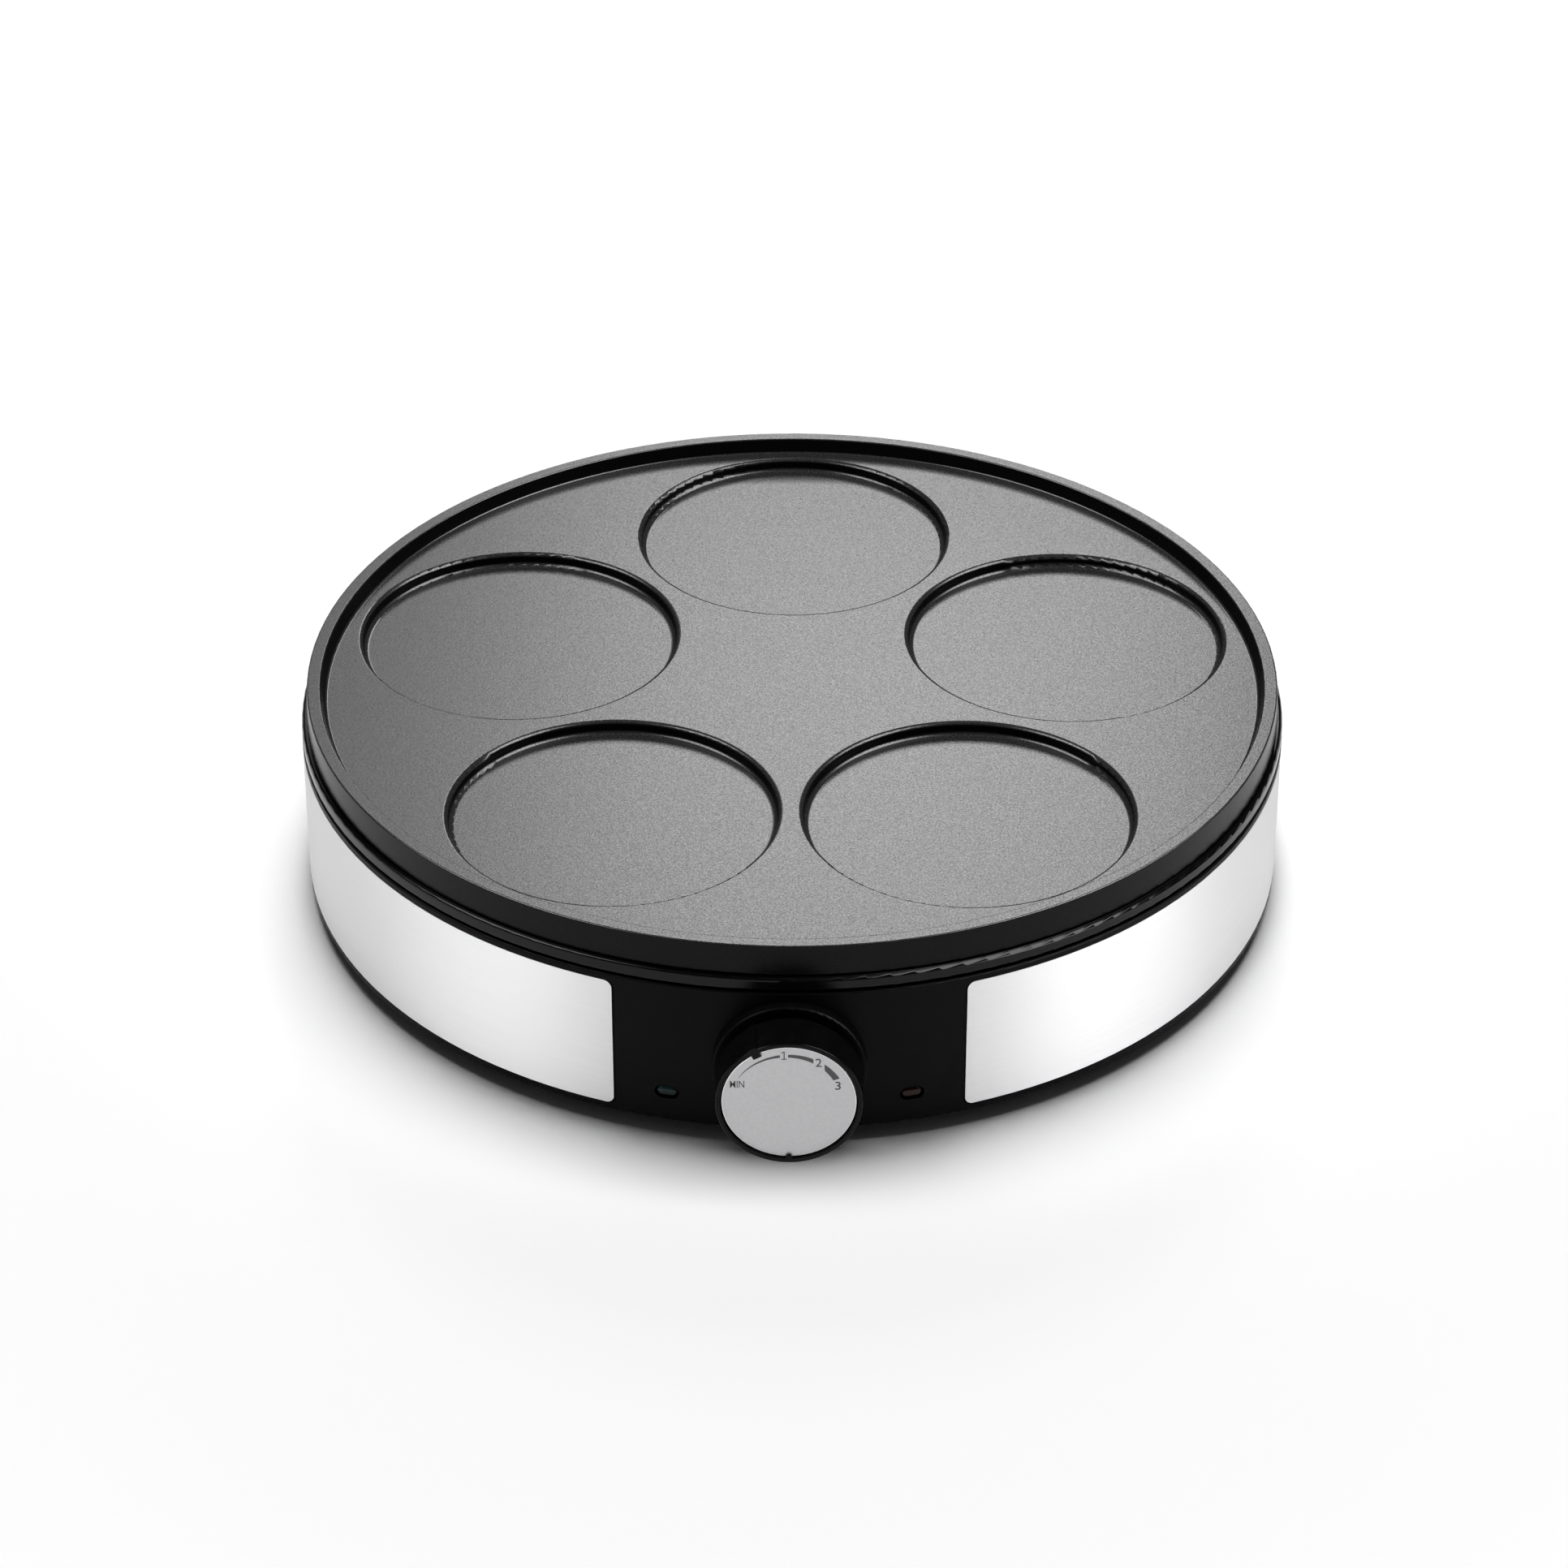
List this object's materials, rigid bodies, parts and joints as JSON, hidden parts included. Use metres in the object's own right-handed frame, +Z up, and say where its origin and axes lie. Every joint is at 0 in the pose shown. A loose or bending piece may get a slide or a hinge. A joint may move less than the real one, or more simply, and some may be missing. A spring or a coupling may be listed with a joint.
{
  "type": "electric mini pancake maker",
  "caption": "Round electric griddle with shallow pancake wells in a lift-off plate, steel-banded black body and a thermostat ring knob on the front.",
  "frame": {"origin": "on the body's axis, on the table that the four rubber feet stand on", "axes": "+Z up along the body's axis, -Y towards the knob at the front, +X to the right seen from the front"},
  "size_m": [0.3048, 0.3273, 0.0683],
  "materials": {
    "nonstick_plate": "die-cast aluminium with a dark satin non-stick coat",
    "trim_phenolic": "moulded black phenolic, glossy",
    "shell_plastic": "moulded black polyamide, satin gloss",
    "knob_plastic": "moulded black phenolic, satin",
    "band_steel": "stainless sheet, finely brushed",
    "dial_foil": "satin silver dial plate",
    "base_paint": "black painted steel sheet",
    "foot_rubber": "black rubber",
    "screw_steel": "zinc plated steel",
    "pan_steel": "aluminised steel sheet",
    "element_sheath": "heat-darkened steel sheath",
    "spring_steel": "spring steel strip",
    "ceramic": "unglazed steatite",
    "brass_parts": "turned or stamped brass",
    "copper_capillary": "copper capillary and bulb",
    "silicone": "red silicone rubber",
    "thermostat_case": "plated steel case",
    "green_acrylic": "tinted green lens, unlit",
    "red_acrylic": "tinted red lens, unlit",
    "holder_plastic": "white polyamide",
    "lamp_glass": "neon lamp bulb",
    "gland_plastic": "black polyamide",
    "wire_brown": "brown silicone insulation",
    "wire_blue": "blue silicone insulation",
    "wire_earth": "green and yellow insulation",
    "wire_white": "white glass-fibre sleeve"
  },
  "bodies": {
    "base": {"trim_ring": "trim_phenolic", "ring_screws": "screw_steel", "body_shell": "shell_plastic", "left_steel_band": "band_steel", "right_steel_band": "band_steel", "base_plate": "base_paint", "rubber_feet": "foot_rubber", "base_screws": "screw_steel", "reflector_pan": "pan_steel", "pan_screws": "screw_steel", "heating_element": "element_sheath", "element_terminals": "brass_parts", "element_bushes": "ceramic", "element_clips": "spring_steel", "sensor_bulb": "copper_capillary", "bulb_clips": "spring_steel", "capillary_tube": "copper_capillary", "capillary_grommet": "silicone", "thermostat_body": "thermostat_case", "thermostat_tabs": "brass_parts", "thermostat_bush": "brass_parts", "thermostat_washer": "screw_steel", "thermostat_nut": "brass_parts", "dial_carrier": "knob_plastic", "dial_disc": "dial_foil", "green_lens": "green_acrylic", "red_lens": "red_acrylic", "lamp_holders": "holder_plastic", "neon_lamps": "lamp_glass", "cord_gland": "gland_plastic", "gland_nut": "gland_plastic", "terminal_block": "ceramic", "terminal_screws": "brass_parts", "block_screws": "screw_steel", "thermal_fuse": "ceramic", "fuse_strap": "spring_steel", "earth_tag": "brass_parts", "earth_screw": "brass_parts", "live_wire": "wire_brown", "switched_wire": "wire_white", "fuse_wire": "wire_white", "neutral_wire": "wire_blue", "earth_wire": "wire_earth", "lamp_wires": "wire_white"},
    "plate": {"cooking_plate": "nonstick_plate"},
    "knob": {"control_knob": "knob_plastic", "thermostat_shaft": "screw_steel", "knob_spring": "spring_steel"}
  },
  "joints": [
    {"name": "knob_turn", "type": "hinge", "parent": "base", "child": "knob", "pos_m": [0, -0.1654, 0.0283], "axis": [0, 1, 0], "range_deg": [-38, 96]},
    {"name": "plate_lift", "type": "slide", "parent": "base", "child": "plate", "axis": [0, 0, 1], "range_m": [0, 0.12]}
  ]
}
